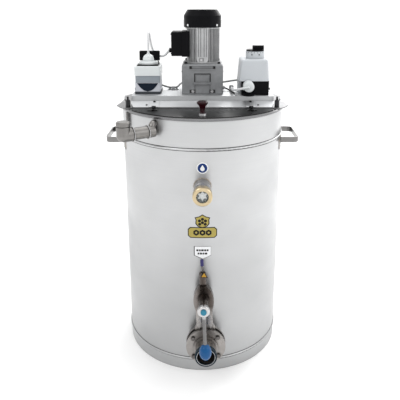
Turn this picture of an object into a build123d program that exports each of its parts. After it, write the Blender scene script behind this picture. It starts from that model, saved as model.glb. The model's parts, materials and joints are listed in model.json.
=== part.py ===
from build123d import *
import math
import os

# A jacketed honey creaming tank of about 100 litres with a geared stirrer. The origin is on the tank's axis
# at floor level, +Z is up, and -Y is the front, where the outlet valve and the level window are.

# Tank
TANK_R = 250.0
SHEET = 2.0
RIM_Z = 806.0
RIM_R = 256.0
RIM_TOP = 808.0
BASE_T = 4.0
BEAD_R = 3.5
BEAD_HEIGHTS = (42.0, 719.0)
INNER_R = 215.0
INNER_SHEET = 1.5
INNER_FLOOR = 90.0

# Handles
HANDLE_REACH = 299.0
HANDLE_HALF = 72.0
HANDLE_T = 4.0
HANDLE_Z = (693.0, 710.0)
PAD_Z = (674.0, 712.0)

# Level window
SIGHT_Z = 613.0
SIGHT_R = 23.75
SIGHT_RING_R = 26.75
SIGHT_RING_Y = (-335.0, -315.0)
SIGHT_SEAT_R = 19.0
SIGHT_VIEW_R = 16.8

# Water filler: a swan neck in the wall, a level nipple, and an elbow with a screwed plug
FILLER_ANGLE = 212.0  # around +Z from the rear, so 32 degrees left of the front
FILLER_LEG_R = 10.0
FILLER_LEG_OUT = 265.0
FILLER_Z = 766.0
FILLER_TOP = 787.0
NIPPLE_R = 16.85
NIPPLE_LENGTH = 85.0
NIPPLE_TURN = 58.0  # from the front, to the left
ELBOW_R = 19.0
PLUG_Z = (792.0, 804.0)
RUNNING_GAP = 0.05

# Outlet valve
VALVE_X = 10.0
VALVE_Z = 125.0
VALVE_LEAN = 2.4  # degrees to the left of upright, about the outlet's axis
BORE_R = 26.0
TUBE_R = 30.0
FLANGE_R = 58.5
FLANGE_T = 8.0
WALL_FLANGE_Y = -275.0
GATE_Y = -289.0
FRONT_FLANGE_Y = -295.0
NOZZLE_END = -346.0
OUTLET_RING_R = 32.0
BOLT_CIRCLE_R = 48.0
BOLT_ANGLE = 40.0
BOLT_R = 3.0
GATE_R = 27.0
GATE_T = 3.0
SPINDLE_Z = 288.0
SPINDLE_R = 6.0
CRANK_R = 24.0
HUB_Y = -365.0
KNOB_Z = 164.0
NECK_R = 10.0
LEAF_LOW = 250.0
LEAF_TOP = 327.0
NECK_TOP = 366.0
FLAT_STEM_TOP = 308.0
STEM_TOP = 386.0
BOSS_FRONT_Y = -357.0

# Bridge and lids
BRIDGE_TOP = 840.0
BRIDGE_T = 2.0
BRIDGE_HALF_X = 213.0
BRIDGE_TOP_Y = 86.0
BRIDGE_FOOT_Y = 118.0
BRIDGE_FOLD_Z = 826.0
PLATE_T = 3.0
STUD_X = 220.0
STUD_Y = 110.0
STUD_R = 3.0
STUD_TOP = 843.0
LID_R = 252.0
LID_T = 2.0
LID_Z = 808.4
LID_HALF_X = 206.0
HINGE_X = 143.0
HINGE_Y = 122.0
HINGE_Z = 814.2
HINGE_R = 3.0
PIN_R = 1.5
LID_KNOB_Y = 221.0

# Drive, coaxial with the tank
BOX_HALF = 62.0
BOX_WALL = 3.0
BOX_FRONT_WALL = 7.0
RELIEF = 3.0  # depth of the recesses cast in the box's front
BOX_TOP = 932.0
MODULE = 0.75
SMALL_TEETH = 17
LARGE_TEETH = 68
MOTOR_R = 52.0
MOTOR_TOP = 1037.0
FAN_COVER_R = 56.5
FAN_COVER_TOP = 1088.0
SHAFT_R = 10.0
ROTOR_R = 6.0

# Stirrer
PADDLE_HEIGHTS = (170.0, 370.0, 570.0)
PADDLE_REACH = 190.0

# Control boxes on the bridge: (low, high) along X and Y
LEFT_X = (-205.0, -128.0)
LEFT_Y = (-50.0, 30.0)
RIGHT_X = (118.0, 200.0)
RIGHT_Y = (-72.0, 29.0)
SOCKET_BASE_TOP = 882.0
SOCKET_BACK_Y = -32.0
RIGHT_TOP = 946.0
LEFT_PLUG = (-166.0, -10.0)
LEFT_TOP = 927.0
FLAP_LEAN = 8.0
RIGHT_PLUG_X = 137.0
RIGHT_PLUG_Z = 870.0
SWITCH_X = 160.0
SWITCH_Y = -22.0

# Leads: diameter and the corners of the route
MOTOR_LEAD = (
    6.5,
    [
        (-166, -10, 960),
        (-166, -10, 992),
        (-166.5, 6, 1019),
        (-167, 36, 1021),
        (-166, 53, 994),
        (-161, 57, 968),
        (-150, 54, 950),
        (-134, 42, 944),
        (-119, 24, 948),
        (-110, 9, 957),
        (-102, 0, 967),
    ],
)
LINK_LEAD = (
    5.5,
    [
        (-128, 22, 856),
        (-108, 29, 847),
        (-80, 29, 847),
        (-72, 50, 856),
        (-62, 72, 857),
        (-34, 82, 856),
        (8, 83, 857),
        (46, 82, 856),
        (72, 66, 859),
        (92, 46, 866),
        (110, 28, 871),
    ],
)
HEATER_LEAD = (
    7.0,
    [
        (119, -106, 865.5),
        (106.5, -102, 862.5),
        (97, -90, 859),
        (92, -72, 856),
        (90, -50, 854),
        (89.5, -27, 852),
        (92, -4, 849),
        (93, 15, 847),
        (93, 36, 846),
    ],
)
THERMOSTAT_LEAD = (
    5.0,
    [
        (70, 12, 849),
        (80, 6, 846),
        (86, -9, 843.5),
        (91, -28, 843),
        (97, -48, 843),
        (101, -65, 843.5),
        (102, -78, 845),
    ],
)
CLIP_X = -93.0

UP = (Align.CENTER, Align.CENTER, Align.MIN)


def block(x, y, z):
    """A box from its low and high along each axis."""
    size = Box(x[1] - x[0], y[1] - y[0], z[1] - z[0])
    return Pos((x[0] + x[1]) / 2, (y[0] + y[1]) / 2, (z[0] + z[1]) / 2) * size


def post(x, y, z, r):
    """An upright cylinder between two heights."""
    return Pos(x, y, z[0]) * Cylinder(r, z[1] - z[0], align=UP)


def bar_y(x, y, z, r):
    """A cylinder along Y."""
    return Pos(x, y[1], z) * Rot(90, 0, 0) * Cylinder(r, y[1] - y[0], align=UP)


def bar_x(x, y, z, r):
    """A cylinder along X."""
    return Pos(x[0], y, z) * Rot(0, 90, 0) * Cylinder(r, x[1] - x[0], align=UP)


def bar_between(start, end, r):
    """A cylinder from one point to another."""
    along = Vector(*end) - Vector(*start)
    return Plane(origin=start, z_dir=along) * Cylinder(r, along.length, align=UP)


def tube(length, outer, inner):
    """An upright tube from height 0."""
    return Cylinder(outer, length, align=UP) - Cylinder(inner, length, align=UP)


def turned(*points):
    """The solid of revolution about Z of an outline of (radius, height) points."""
    return revolve(make_face(Plane.XZ * Polyline(*points, close=True)), Axis.Z)


def drawn_up(points, z):
    """A prism between two heights over an outline in XY."""
    return Pos(0, 0, z[0]) * extrude(make_face(Polyline(*points, close=True)), z[1] - z[0])


def mirrored_points(points):
    """An outline given for its right half, completed with its left half."""
    return list(points) + [(-x, y) for x, y in reversed(points)]


def polar(radius, degrees):
    return radius * math.cos(math.radians(degrees)), radius * math.sin(math.radians(degrees))


def tank_drum(r):
    return post(0, 0, (0, RIM_TOP), r)


# Tank


def base_plate():
    return post(0, 0, (0, BASE_T), TANK_R - SHEET)


def jacket_shell():
    shell = tank_drum(TANK_R) & block((-TANK_R, TANK_R), (-TANK_R, TANK_R), (0, RIM_Z))
    for height in BEAD_HEIGHTS:
        shell += Pos(0, 0, height) * Torus(TANK_R - 0.5, BEAD_R)
    shell -= tank_drum(TANK_R - SHEET)
    shell -= bar_y(0, (-TANK_R - 10, 0), SIGHT_Z, SIGHT_R)
    shell -= bar_y(VALVE_X, (-TANK_R - 10, 0), VALVE_Z, TUBE_R)
    return shell - filler_leg(FILLER_LEG_R)


def inner_tank():
    inside = INNER_R - INNER_SHEET
    under = INNER_FLOOR - INNER_SHEET
    flange = RIM_Z - INNER_SHEET
    shell = turned(
        (0, under),
        (INNER_R, under),
        (INNER_R, flange),
        (TANK_R - SHEET, flange),
        (TANK_R - SHEET, RIM_Z),
        (inside, RIM_Z),
        (inside, INNER_FLOOR),
        (0, INNER_FLOOR),
    )
    return shell - bar_y(VALVE_X, (-TANK_R, 0), VALVE_Z, TUBE_R)


def rim_ring():
    return turned(
        (TANK_R - 4, RIM_Z),
        (TANK_R, RIM_Z),
        (TANK_R, RIM_Z - 6),
        (RIM_R - 2, RIM_Z - 6),
        (RIM_R, RIM_Z - 4),
        (RIM_R, RIM_TOP - 2),
        (RIM_R - 2, RIM_TOP),
        (TANK_R - 4, RIM_TOP),
    )


def heating_element():
    loop = Pos(0, 0, 50) * Torus(150, 5)
    for x in (-25, 25):
        loop += post(x, 147.9, (50, 75), 5)
    return loop


def bottom_bearing():
    bush = Pos(0, 0, INNER_FLOOR) * tube(14, 20, SHAFT_R + RUNNING_GAP)
    return chamfer(bush.edges().sort_by(Axis.Z)[-1], 1)


def handle(side):
    """A bent flat bar with a pad on the wall at each end; side is 1 at the right and -1 at the left."""
    inner_x = TANK_R - 15
    outer = block((inner_x, HANDLE_REACH), (-HANDLE_HALF, HANDLE_HALF), HANDLE_Z)
    outer = fillet(outer.edges().filter_by(Axis.Z).group_by(Axis.X)[-1], 18)
    half = HANDLE_HALF - HANDLE_T
    gap = block((inner_x, HANDLE_REACH - HANDLE_T), (-half, half), HANDLE_Z)
    gap = fillet(gap.edges().filter_by(Axis.Z).group_by(Axis.X)[-1], 18 - HANDLE_T)
    grip = outer - gap
    for y in (-HANDLE_HALF + 2, HANDLE_HALF - 2):
        pad = tank_drum(TANK_R + 2) & block((inner_x - 15, HANDLE_REACH), (y - 16, y + 16), PAD_Z)
        grip += pad
    grip -= tank_drum(TANK_R)
    return grip if side > 0 else mirror(grip, Plane.YZ)


# Level window


def sight_coupling():
    front = SIGHT_RING_Y[1]
    pipe = bar_y(0, (front, -200), SIGHT_Z, SIGHT_R) - bar_y(0, (front, -200), SIGHT_Z, SIGHT_SEAT_R)
    return pipe - tank_drum(TANK_R - SHEET - 4)


def sight_ring():
    front, back = SIGHT_RING_Y
    length = back - front
    ring = turned(
        (SIGHT_SEAT_R, 0),
        (SIGHT_RING_R, 0),
        (SIGHT_RING_R, length - 2),
        (SIGHT_RING_R - 2, length),
        (SIGHT_VIEW_R, length),
        (SIGHT_VIEW_R, length - 2),
        (SIGHT_SEAT_R, length - 2),
    )
    return Pos(0, back, SIGHT_Z) * Rot(90, 0, 0) * ring


def sight_glass():
    front = SIGHT_RING_Y[0] + 2
    return bar_y(0, (front, front + 5), SIGHT_Z, SIGHT_SEAT_R)


def sight_reflector():
    front = SIGHT_RING_Y[0] + 11
    return bar_y(0, (front, front + 2), SIGHT_Z, SIGHT_SEAT_R)


# Water filler


def filler_axis():
    """The foot of the swan neck, outside the wall, and the level direction of the nipple."""
    a = math.radians(FILLER_ANGLE)
    foot = Vector(FILLER_LEG_OUT * math.sin(a), FILLER_LEG_OUT * math.cos(a), FILLER_Z)
    b = math.radians(NIPPLE_TURN)
    return foot, Vector(-math.sin(b), -math.cos(b), 0)


def filler_leg(r):
    """The swan neck: up the wall from the nipple, then in through it."""
    foot, _ = filler_axis()
    inward = (TANK_R - SHEET) / FILLER_LEG_OUT
    path = FilletPolyline(
        foot,
        (foot.X, foot.Y, FILLER_TOP),
        (foot.X * inward, foot.Y * inward, FILLER_TOP),
        radius=11,
    )
    return sweep(Plane(origin=path @ 0, z_dir=path % 0) * Circle(r), path=path)


def along_nipple(low, high, r):
    """A cylinder on the nipple's axis, between two distances from the swan neck."""
    foot, away = filler_axis()
    return bar_between(foot + away * low, foot + away * high, r)


def filler_pipe():
    wall = 2.5
    joint = NIPPLE_LENGTH - ELBOW_R - 8
    pipe = along_nipple(-6, joint, NIPPLE_R)
    pipe += along_nipple(12, 15, NIPPLE_R + 2)
    pipe += filler_leg(FILLER_LEG_R)
    pipe -= along_nipple(-6 + wall, joint, NIPPLE_R - wall)
    return pipe - filler_leg(FILLER_LEG_R - wall)


def filler_elbow():
    foot, away = filler_axis()
    centre = foot + away * NIPPLE_LENGTH
    joint = NIPPLE_LENGTH - ELBOW_R - 8
    body = Pos(centre.X, centre.Y, FILLER_Z) * Sphere(ELBOW_R)
    body += post(centre.X, centre.Y, (FILLER_Z, PLUG_Z[0] - 2), ELBOW_R)
    body += along_nipple(joint, NIPPLE_LENGTH, ELBOW_R)
    body += along_nipple(joint, joint + 3, ELBOW_R + 1.5)
    body -= post(centre.X, centre.Y, (FILLER_Z, PLUG_Z[0]), ELBOW_R - 4)
    return body - along_nipple(joint, NIPPLE_LENGTH, NIPPLE_R - 2.5)


def filler_plug():
    foot, away = filler_axis()
    centre = foot + away * NIPPLE_LENGTH
    head = post(centre.X, centre.Y, PLUG_Z, ELBOW_R + 0.3)
    head = chamfer(head.edges().sort_by(Axis.Z)[-1], 3)
    return head + post(centre.X, centre.Y, (PLUG_Z[0] - 12, PLUG_Z[0]), ELBOW_R - 4 - RUNNING_GAP)


def vent_pipe():
    x, y = polar(TANK_R + 5, 180 + 30)
    pipe = post(x, y, (752, RIM_Z - 6), 4.5) + Pos(x, y, 752) * Sphere(4.5)
    return pipe - tank_drum(TANK_R)


# Outlet valve


def bolt_spots():
    """Where the four flange bolts are, in X and Z."""
    for turn in (BOLT_ANGLE, 180 - BOLT_ANGLE, 180 + BOLT_ANGLE, -BOLT_ANGLE):
        dx, dz = polar(BOLT_CIRCLE_R, turn)
        yield VALVE_X + dx, VALVE_Z + dz


def drilled(flange):
    for x, z in bolt_spots():
        flange -= bar_y(x, (FRONT_FLANGE_Y - FLANGE_T, WALL_FLANGE_Y), z, BOLT_R + 0.2)
    return flange


def valve_wall_flange():
    back = WALL_FLANGE_Y
    stub = bar_y(VALVE_X, (back, -200), VALVE_Z, TUBE_R) - tank_drum(INNER_R - INNER_SHEET)
    stub += bar_y(VALVE_X, (back - FLANGE_T, back), VALVE_Z, FLANGE_R)
    return drilled(stub - bar_y(VALVE_X, (back - FLANGE_T, -200), VALVE_Z, BORE_R))


def leaf(inset, y):
    """The bonnet's leaf shape in XZ, drawn in by an inset, between two depths."""
    low, high = LEAF_LOW + inset, LEAF_TOP - inset
    side = Spline(
        (24 - inset, low),
        (29.5 - inset, 279),
        (25 - inset, 305),
        (NECK_R - inset, high),
    )
    outline = side + Line((NECK_R - inset, high), (inset - NECK_R, high))
    outline += mirror(side, Plane.YZ) + Line((inset - 24, low), (24 - inset, low))
    prism = extrude(make_face(Plane.XZ * outline), y[0] - y[1], dir=(0, 1, 0))
    return Pos(VALVE_X, y[1], 0) * prism


def hood(inset, y):
    """The housing from the bore up to the bonnet, which holds the raised gate."""
    high = 256
    points = mirrored_points(
        [(30 - inset, VALVE_Z), (30 - inset, 184), (24 - inset, 196), (24 - inset, high)]
    )
    prism = extrude(make_face(Plane.XZ * Polyline(*points, close=True)), y[0] - y[1], dir=(0, 1, 0))
    return Pos(VALVE_X, y[1], 0) * prism


def front_rib(side):
    """A pointed rib down one side of the hood's front."""
    outline = [(24, 262), (24, 200), (17, 185), (10, 200), (10, 262)]
    points = [(side * x, z) for x, z in outline]
    prism = extrude(make_face(Plane.XZ * Polyline(*points, close=True)), 8, dir=(0, -1, 0))
    return Pos(VALVE_X, FRONT_FLANGE_Y + 2, 0) * prism


def spindle_boss():
    """The cone on the bonnet that carries the lever's shaft."""
    length = FRONT_FLANGE_Y - 8 - BOSS_FRONT_Y
    cone = turned((0, 0), (17, 0), (15, 12), (13, length - 2), (12, length), (0, length))
    return Pos(VALVE_X, FRONT_FLANGE_Y - 8, SPINDLE_Z) * Rot(90, 0, 0) * cone


def valve_body():
    back = WALL_FLANGE_Y - FLANGE_T
    gate_layer = (GATE_Y - 2, GATE_Y + 2)
    body = bar_y(VALVE_X, (FRONT_FLANGE_Y, back), VALVE_Z, 40)
    body += hood(0, (FRONT_FLANGE_Y + 1, back - 1))
    body += leaf(0, (FRONT_FLANGE_Y - 9, back))
    body += post(VALVE_X, GATE_Y, (LEAF_TOP - 4, NECK_TOP), NECK_R)
    body = fillet(body.edges().group_by(Axis.Z)[-1], 4)
    body += front_rib(1) + front_rib(-1) + spindle_boss()
    body -= hood(2.2, gate_layer)
    body -= bar_y(VALVE_X, gate_layer, VALVE_Z, GATE_R + 0.4)
    body -= leaf(1.5, (FRONT_FLANGE_Y - 7, back - 2))
    body -= post(VALVE_X, GATE_Y, (LEAF_TOP - 12, NECK_TOP - 4), 7.5)
    body -= post(VALVE_X, GATE_Y, (NECK_TOP - 5, NECK_TOP), 3 + RUNNING_GAP)
    body -= bar_y(VALVE_X, (BOSS_FRONT_Y, FRONT_FLANGE_Y), SPINDLE_Z, SPINDLE_R + RUNNING_GAP)
    return body - bar_y(VALVE_X, (FRONT_FLANGE_Y, back), VALVE_Z, BORE_R)


def outlet_nozzle():
    front = FRONT_FLANGE_Y - FLANGE_T
    nozzle = bar_y(VALVE_X, (front, FRONT_FLANGE_Y), VALVE_Z, FLANGE_R)
    nozzle += bar_y(VALVE_X, (NOZZLE_END, front), VALVE_Z, TUBE_R)
    nozzle += bar_y(VALVE_X, (front - 6, front), VALVE_Z, TUBE_R + 6)
    nozzle -= leaf(-0.3, (front - 2, FRONT_FLANGE_Y)) + hood(-0.3, (front, FRONT_FLANGE_Y + 1)) & block(
        (VALVE_X - 40, VALVE_X + 40), (front - 2, FRONT_FLANGE_Y), (LEAF_LOW, LEAF_LOW + 10)
    )
    return drilled(nozzle - bar_y(VALVE_X, (NOZZLE_END, FRONT_FLANGE_Y), VALVE_Z, BORE_R))


def outlet_ring():
    ring = bar_y(VALVE_X, (NOZZLE_END - 5, NOZZLE_END + 8), VALVE_Z, OUTLET_RING_R)
    ring -= bar_y(VALVE_X, (NOZZLE_END, NOZZLE_END + 8), VALVE_Z, TUBE_R)
    return ring - bar_y(VALVE_X, (NOZZLE_END - 5, NOZZLE_END), VALVE_Z, BORE_R)


def valve_bolts():
    front = FRONT_FLANGE_Y - FLANGE_T
    bolts = []
    for x, z in bolt_spots():
        head = Pos(x, front, z) * Rot(90, 0, 0) * extrude(RegularPolygon(6.5, 6), 5)
        bolts.append(head + bar_y(x, (front, WALL_FLANGE_Y), z, BOLT_R))
    return Compound(children=bolts)


def gate():
    """The blade, its flat stem behind the crank, and the round rod through the neck."""
    layer = (GATE_Y - GATE_T / 2, GATE_Y + GATE_T / 2)
    blade = bar_y(VALVE_X, layer, VALVE_Z, GATE_R)
    stem = block((VALVE_X - 6, VALVE_X + 6), layer, (VALVE_Z + 20, FLAT_STEM_TOP))
    return blade + stem + post(VALVE_X, GATE_Y, (FLAT_STEM_TOP - 2, STEM_TOP), 3)


def stem_grip():
    grip = post(VALVE_X, GATE_Y, (STEM_TOP, STEM_TOP + 20), 5)
    return fillet(grip.edges().filter_by(GeomType.CIRCLE), 2)


def spindle():
    """The lever's shaft; its crank and pin turn inside the bonnet, in front of the gate's stem."""
    back = GATE_Y - 3
    shaft = bar_y(VALVE_X, (HUB_Y - 7, back - 4), SPINDLE_Z, SPINDLE_R)
    arm = block((VALVE_X - 5, VALVE_X + 5), (back - 8, back - 4), (SPINDLE_Z - CRANK_R, SPINDLE_Z))
    return shaft + arm + bar_y(VALVE_X, (back - 8, back), SPINDLE_Z - CRANK_R, 3)


def lever():
    hub = bar_y(VALVE_X, (HUB_Y - 7, HUB_Y + 7), SPINDLE_Z, 17.5)
    hub = fillet(hub.edges().filter_by(GeomType.CIRCLE), 3)
    rod = bar_between((VALVE_X, HUB_Y, SPINDLE_Z - 12), (VALVE_X, HUB_Y - 11, KNOB_Z + 14), 5)
    return hub + rod - bar_y(VALVE_X, (HUB_Y - 7, HUB_Y + 7), SPINDLE_Z, SPINDLE_R)


def lever_knob():
    half = Ellipse(17.5, 24) & Pos(20, 0) * Rectangle(40, 60)
    egg = Pos(VALVE_X, HUB_Y - 13, KNOB_Z) * revolve(Plane.XZ * half, Axis.Z)
    return egg - lever()


def hub_cap():
    cap = bar_y(VALVE_X, (HUB_Y - 11, HUB_Y - 7), SPINDLE_Z, 8.5)
    return fillet(cap.edges().group_by(Axis.Y)[0], 1.5)


# Bridge and lids


def bridge_section():
    """The folded sheet's outline in YZ, for its rear half."""
    under = BRIDGE_TOP - BRIDGE_T
    foot = RIM_TOP + PLATE_T
    return [
        (0, BRIDGE_TOP),
        (BRIDGE_TOP_Y, BRIDGE_TOP),
        (BRIDGE_TOP_Y, BRIDGE_FOLD_Z),
        (BRIDGE_FOOT_Y, foot + BRIDGE_T),
        (BRIDGE_FOOT_Y, foot),
        (BRIDGE_TOP_Y - BRIDGE_T, BRIDGE_FOLD_Z - BRIDGE_T),
        (BRIDGE_TOP_Y - BRIDGE_T, under),
        (0, under),
    ]


def bridge():
    rear = extrude(make_face(Plane.YZ * Polyline(*bridge_section(), close=True)), BRIDGE_HALF_X, both=True)
    sheet = rear + mirror(rear, Plane.XZ)
    corner = drawn_up([(213, 98), (213, 130), (200, 130), (204, 118)], (RIM_TOP, BRIDGE_TOP))
    corner = corner + mirror(corner, Plane.XZ)
    sheet -= corner + mirror(corner, Plane.YZ)
    return sheet - post(0, 0, (RIM_TOP, BRIDGE_TOP), 24)


def bridge_base_plate():
    quarter = [(242, 10), (252, 34), (258, 80), (241, 113), (230, 121), (212, 121), (206, 114)]
    right = [(x, -y) for x, y in reversed(quarter)] + quarter
    plate = drawn_up(mirrored_points(right), (RIM_TOP, RIM_TOP + PLATE_T))
    for x in (-STUD_X, STUD_X):
        for y in (-STUD_Y, STUD_Y):
            plate -= post(x, y, (RIM_TOP, RIM_TOP + PLATE_T), STUD_R)
    return plate - post(0, 0, (RIM_TOP, RIM_TOP + PLATE_T), 40)


def at_studs(piece):
    return [Pos(x, y, 0) * piece for x in (-STUD_X, STUD_X) for y in (-STUD_Y, STUD_Y)]


def bridge_studs():
    """Four studs on the rim, each with a washer and a tall nut."""
    foot = RIM_TOP + PLATE_T
    stud = post(0, 0, (RIM_TOP, STUD_TOP), STUD_R)
    nut = post(0, 0, (foot, foot + 2), 7.6) + Pos(0, 0, foot + 2) * extrude(RegularPolygon(7, 6), 20)
    return Compound(children=at_studs(stud) + at_studs(nut - stud))


def front_lid():
    """The lid with its lip, its hinge leaves and the knob's ferrule."""
    segment = post(0, 0, (LID_Z, LID_Z + LID_T), LID_R)
    reach = (-LID_HALF_X, LID_HALF_X)
    lid = segment & block(reach, (-LID_R, -HINGE_Y - 1), (LID_Z, LID_Z + LID_T))
    lip_z = (LID_Z - 8, LID_Z)
    lip = post(0, 0, lip_z, INNER_R - 4) - post(0, 0, lip_z, INNER_R - 5.5)
    lid += lip & block(reach, (-LID_R, -HINGE_Y - 45), lip_z)
    ferrule = turned((0, 0), (11, 0), (10, 6), (0, 6))
    lid += Pos(0, -LID_KNOB_Y, LID_Z + LID_T) * ferrule
    for x in (-HINGE_X, HINGE_X):
        lid += lid_leaf(x)
    return lid


def front_lid_knob():
    flank = Spline((9, 6), (6.5, 14), (8.5, 24), (15.5, 34))
    outline = flank + Polyline((15.5, 34), (15.5, 37.5), (12, 40), (0, 40), (0, 6), (9, 6))
    return Pos(0, -LID_KNOB_Y, LID_Z + LID_T) * revolve(make_face(Plane.XZ * outline), Axis.Z)


def knuckle(x):
    """A hinge knuckle about the lid's axis, without its bore."""
    return bar_x(x, -HINGE_Y, HINGE_Z, HINGE_R)


def lid_leaf(x):
    """A hinge leaf on the lid, with the hinge's middle knuckle and the leaf's screw."""
    top = LID_Z + LID_T
    one = block((x - 14, x + 14), (-HINGE_Y - 38, -HINGE_Y - 3.4), (top, top + 1.5))
    one += block((x - 6, x + 6), (-HINGE_Y - 5, -HINGE_Y), (top, HINGE_Z))
    one += knuckle((x - 6, x + 6)) + post(x, -158, (top, top + 3), 4)
    return one - bar_x((x - 6, x + 6), -HINGE_Y, HINGE_Z, PIN_R + RUNNING_GAP)


def mirrored_to_rear(shape):
    return mirror(shape, Plane.XZ)


def bridge_leaves():
    """The hinge leaves on the bridge's sloping flanges, with their pins."""
    slope = (BRIDGE_FOLD_Z - RIM_TOP - PLATE_T - BRIDGE_T) / (BRIDGE_FOOT_Y - BRIDGE_TOP_Y)
    height = RIM_TOP + PLATE_T + BRIDGE_T
    section = [
        (-BRIDGE_FOOT_Y, height),
        (-BRIDGE_FOOT_Y + 27, height + 27 * slope),
        (-BRIDGE_FOOT_Y + 27, height + 27 * slope + 1.5),
        (-HINGE_Y + 2.6, height + 1.5 - (HINGE_Y - 2.6 - BRIDGE_FOOT_Y) * slope),
        (-HINGE_Y + 2.6, height - (HINGE_Y - 2.6 - BRIDGE_FOOT_Y) * slope),
    ]
    plate = extrude(make_face(Plane.YZ * Polyline(*section, close=True)), 14, both=True)
    leaves = []
    for x in (-HINGE_X, HINGE_X):
        one = Pos(x, 0, 0) * plate
        for side in ((x - 14, x - 6.3), (x + 6.3, x + 14)):
            one += knuckle(side)
        one -= block((x - 6.3, x + 6.3), (-HINGE_Y - 4, -HINGE_Y + 4), (RIM_TOP, BRIDGE_TOP))
        leaves.append(one + bar_x((x - 14, x + 14), -HINGE_Y, HINGE_Z, PIN_R))
    front = Compound(children=leaves)
    return Compound(children=[front, mirrored_to_rear(front)])


# Drive


def gear(teeth, thick, first):
    """A spur gear with straight-flanked teeth, thinned for backlash; first is the angle of one tooth."""
    pitch = MODULE * teeth / 2
    root, tip = pitch - 1.3 * MODULE, pitch + 0.9 * MODULE
    step = 360 / teeth
    points = []
    for i in range(teeth):
        middle = first + i * step
        for radius, share in ((root, -0.33), (tip, -0.12), (tip, 0.12), (root, 0.33)):
            points.append(polar(radius, middle + share * step))
    return extrude(make_face(Polyline(*points, close=True)), thick)


def gear_offset():
    return MODULE * (SMALL_TEETH + LARGE_TEETH) / 2


def output_gear():
    z = 852
    wheel = Pos(0, 0, z) * gear(LARGE_TEETH, 10, 90)
    return wheel - post(0, 0, (z, z + 10), SHAFT_R)


def idler_gear():
    """The cluster between the rotor's pinion and the output gear."""
    y = gear_offset()
    cluster = post(0, y, (845.3, BOX_TOP - 5.3), 4)
    cluster += Pos(0, y, 851.5) * gear(SMALL_TEETH, 11, 270 + 180 / SMALL_TEETH)
    return cluster + Pos(0, y, 885) * gear(LARGE_TEETH, 8, 270 + 180 / LARGE_TEETH)


def gearbox_relief():
    """The recesses in the box's front: a slot, the groove round a plate, a bay and two bolt pockets."""
    depth = (-BOX_HALF, -BOX_HALF + RELIEF)
    cut = block((-39, 39), depth, (917, 926))
    cut += block((-25, 25), depth, (878, 904)) - block((-21.5, 21.5), depth, (878, 900.5))
    cut += block((-24, 24), depth, (842, 870))
    for x in (-30, 30):
        cut += block((x - 9, x + 9), depth, (844.5, 855))
    return cut


def gearbox_housing():
    foot = BRIDGE_TOP
    box = block((-BOX_HALF, BOX_HALF), (-BOX_HALF, BOX_HALF), (foot, BOX_TOP))
    box = fillet(box.edges().filter_by(Axis.Z), 6)
    top_right = box.edges().filter_by(Axis.Y).group_by(Axis.Z)[-1].sort_by(Axis.X)[-1]
    box = fillet(top_right, 9)
    half = BOX_HALF - BOX_WALL
    y = gear_offset()
    box -= block((-half, half), (-BOX_HALF + BOX_FRONT_WALL, half), (foot + 5, BOX_TOP - 3))
    box += post(0, y, (foot + 5, foot + 9), 7) + post(0, y, (BOX_TOP - 8, BOX_TOP - 3), 7)
    box -= post(0, y, (foot + 5, BOX_TOP - 5), 4 + RUNNING_GAP)
    box -= post(0, 0, (foot, foot + 5), SHAFT_R + RUNNING_GAP)
    box -= post(0, 0, (BOX_TOP - 3, BOX_TOP), ROTOR_R + 2)
    box -= gearbox_relief()
    raised = (-BOX_HALF - 1.5, -BOX_HALF)
    box += block((-36, 36), raised, (913, 917))
    box += block((-26, 26), raised, (871, 877))
    return box + block((-19, 19), raised, (882, 898))


def motor_housing():
    foot = BOX_TOP
    body = post(0, 0, (foot, MOTOR_TOP), MOTOR_R - 4)
    fin = block((MOTOR_R - 6, MOTOR_R), (-0.8, 0.8), (foot + 4, MOTOR_TOP))
    count = 60
    for i in range(count):
        turn = i * 360 / count
        if abs(turn - 270) > 21 and abs(turn - 180) > 30:
            body += Rot(0, 0, turn) * fin
    body += post(0, 0, (foot, foot + 4), MOTOR_R) + post(0, 0, (MOTOR_TOP - 4, MOTOR_TOP), MOTOR_R)
    pad = block((-18, 18), (-MOTOR_R - 1, -MOTOR_R + 12), (foot + 2, MOTOR_TOP))
    body += fillet(pad.edges().filter_by(Axis.Y).group_by(Axis.Z)[0], 12)
    groove = (-MOTOR_R - 1, -MOTOR_R + 1)
    body -= block((-10, 4), groove, (foot + 6, foot + 16))
    for x in (-12, -5, 5, 12):
        body -= block((x - 1.1, x + 1.1), groove, (foot + 20, MOTOR_TOP - 2))
    body -= post(0, 0, (foot + 4, MOTOR_TOP - 4), MOTOR_R - 8)
    return body - post(0, 0, (foot, MOTOR_TOP), ROTOR_R + RUNNING_GAP)


def rotor():
    body = post(0, 0, (898, 1066), ROTOR_R) + post(0, 0, (950, 1012), 24.5)
    return body + Pos(0, 0, 883.5) * gear(SMALL_TEETH, 15, 90)


def fan():
    low = MOTOR_TOP + 8
    wheel = Pos(0, 0, low) * tube(22, 12, ROTOR_R)
    blade = block((11, 46), (-1, 1), (low, low + 20))
    for i in range(8):
        wheel += Rot(0, 0, i * 45) * blade
    return wheel


def fan_cover():
    wall = 2.0
    side = FAN_COVER_TOP - 17
    cover = turned(
        (MOTOR_R, MOTOR_TOP),
        (FAN_COVER_R, MOTOR_TOP),
        (FAN_COVER_R, side),
        (FAN_COVER_R - 11, FAN_COVER_TOP),
        (0, FAN_COVER_TOP),
        (0, FAN_COVER_TOP - wall),
        (FAN_COVER_R - 12, FAN_COVER_TOP - wall),
        (FAN_COVER_R - wall, side - 1),
        (FAN_COVER_R - wall, MOTOR_TOP + wall),
        (MOTOR_R, MOTOR_TOP + wall),
    )
    slot = block((14, 42), (-2, 2), (FAN_COVER_TOP - wall, FAN_COVER_TOP))
    for i in range(16):
        cover -= Rot(0, 0, i * 22.5) * slot
    return cover


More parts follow.
